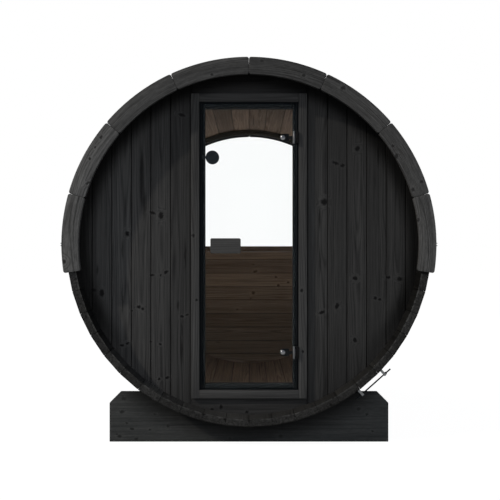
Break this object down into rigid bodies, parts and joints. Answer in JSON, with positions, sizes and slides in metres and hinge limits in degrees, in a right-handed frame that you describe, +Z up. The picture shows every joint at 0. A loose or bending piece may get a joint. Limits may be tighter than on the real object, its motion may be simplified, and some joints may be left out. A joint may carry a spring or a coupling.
{
  "type": "barrel sauna",
  "caption": "Round wooden barrel sauna on two cradles, with a glass front door, a half moon rear window and steel bands with tensioners.",
  "frame": {"origin": "on the ground at the centre of the footprint", "axes": "+Z up, barrel axis along Y, the door end faces -Y, +X to the right seen from the door end"},
  "size_m": [2.107, 2.25, 2.1619],
  "materials": {
    "stave_wood": "black stained softwood outside, brown heat treated wood inside",
    "trim_wood": "black stained softwood",
    "wall_wood": "black stained tongue and groove boards",
    "frame_wood": "black stained softwood",
    "handle_wood": "black stained hardwood",
    "cradle_wood": "black stained softwood plank",
    "clear_glass": "clear toughened glass",
    "dark_metal": "satin black",
    "band_steel": "stainless steel band"
  },
  "bodies": {
    "shell": {"staves_top_left": "stave_wood", "staves_upper_left": "stave_wood", "staves_lower_left": "stave_wood", "staves_bottom_left": "stave_wood", "staves_top_right": "stave_wood", "staves_upper_right": "stave_wood", "staves_lower_right": "stave_wood", "staves_bottom_right": "stave_wood", "trim_front_left": "trim_wood", "trim_front_right": "trim_wood", "trim_rear_left": "trim_wood", "trim_rear_right": "trim_wood", "front_wall_left": "wall_wood", "front_wall_right": "wall_wood", "front_wall_over_door": "wall_wood", "front_wall_under_door": "wall_wood", "door_jamb_left": "frame_wood", "door_jamb_right": "frame_wood", "door_head": "frame_wood", "door_sill": "frame_wood", "door_stops": "frame_wood", "hinge_leaf_upper": "dark_metal", "hinge_leaf_lower": "dark_metal", "rear_wall_lower": "wall_wood", "rear_window_rail": "frame_wood", "rear_window_arch": "frame_wood", "rear_window_glass": "clear_glass", "rear_window_bead": "frame_wood", "band_front": "band_steel", "band_middle": "band_steel", "band_rear": "band_steel", "tensioner_front": "band_steel", "tensioner_middle": "band_steel", "tensioner_rear": "band_steel", "cradle_front": "cradle_wood", "cradle_rear": "cradle_wood"},
    "door": {"door_glass": "clear_glass", "door_handle_outer": "handle_wood", "door_handle_inner": "handle_wood", "door_catch": "dark_metal", "hinge_strap_upper": "dark_metal", "hinge_strap_lower": "dark_metal"}
  },
  "joints": [
    {"name": "door_hinge", "type": "hinge", "parent": "shell", "child": "door", "pos_m": [0.254, -1.013, 1.135], "axis": [0, 0, 1], "range_deg": [0, 110]}
  ]
}
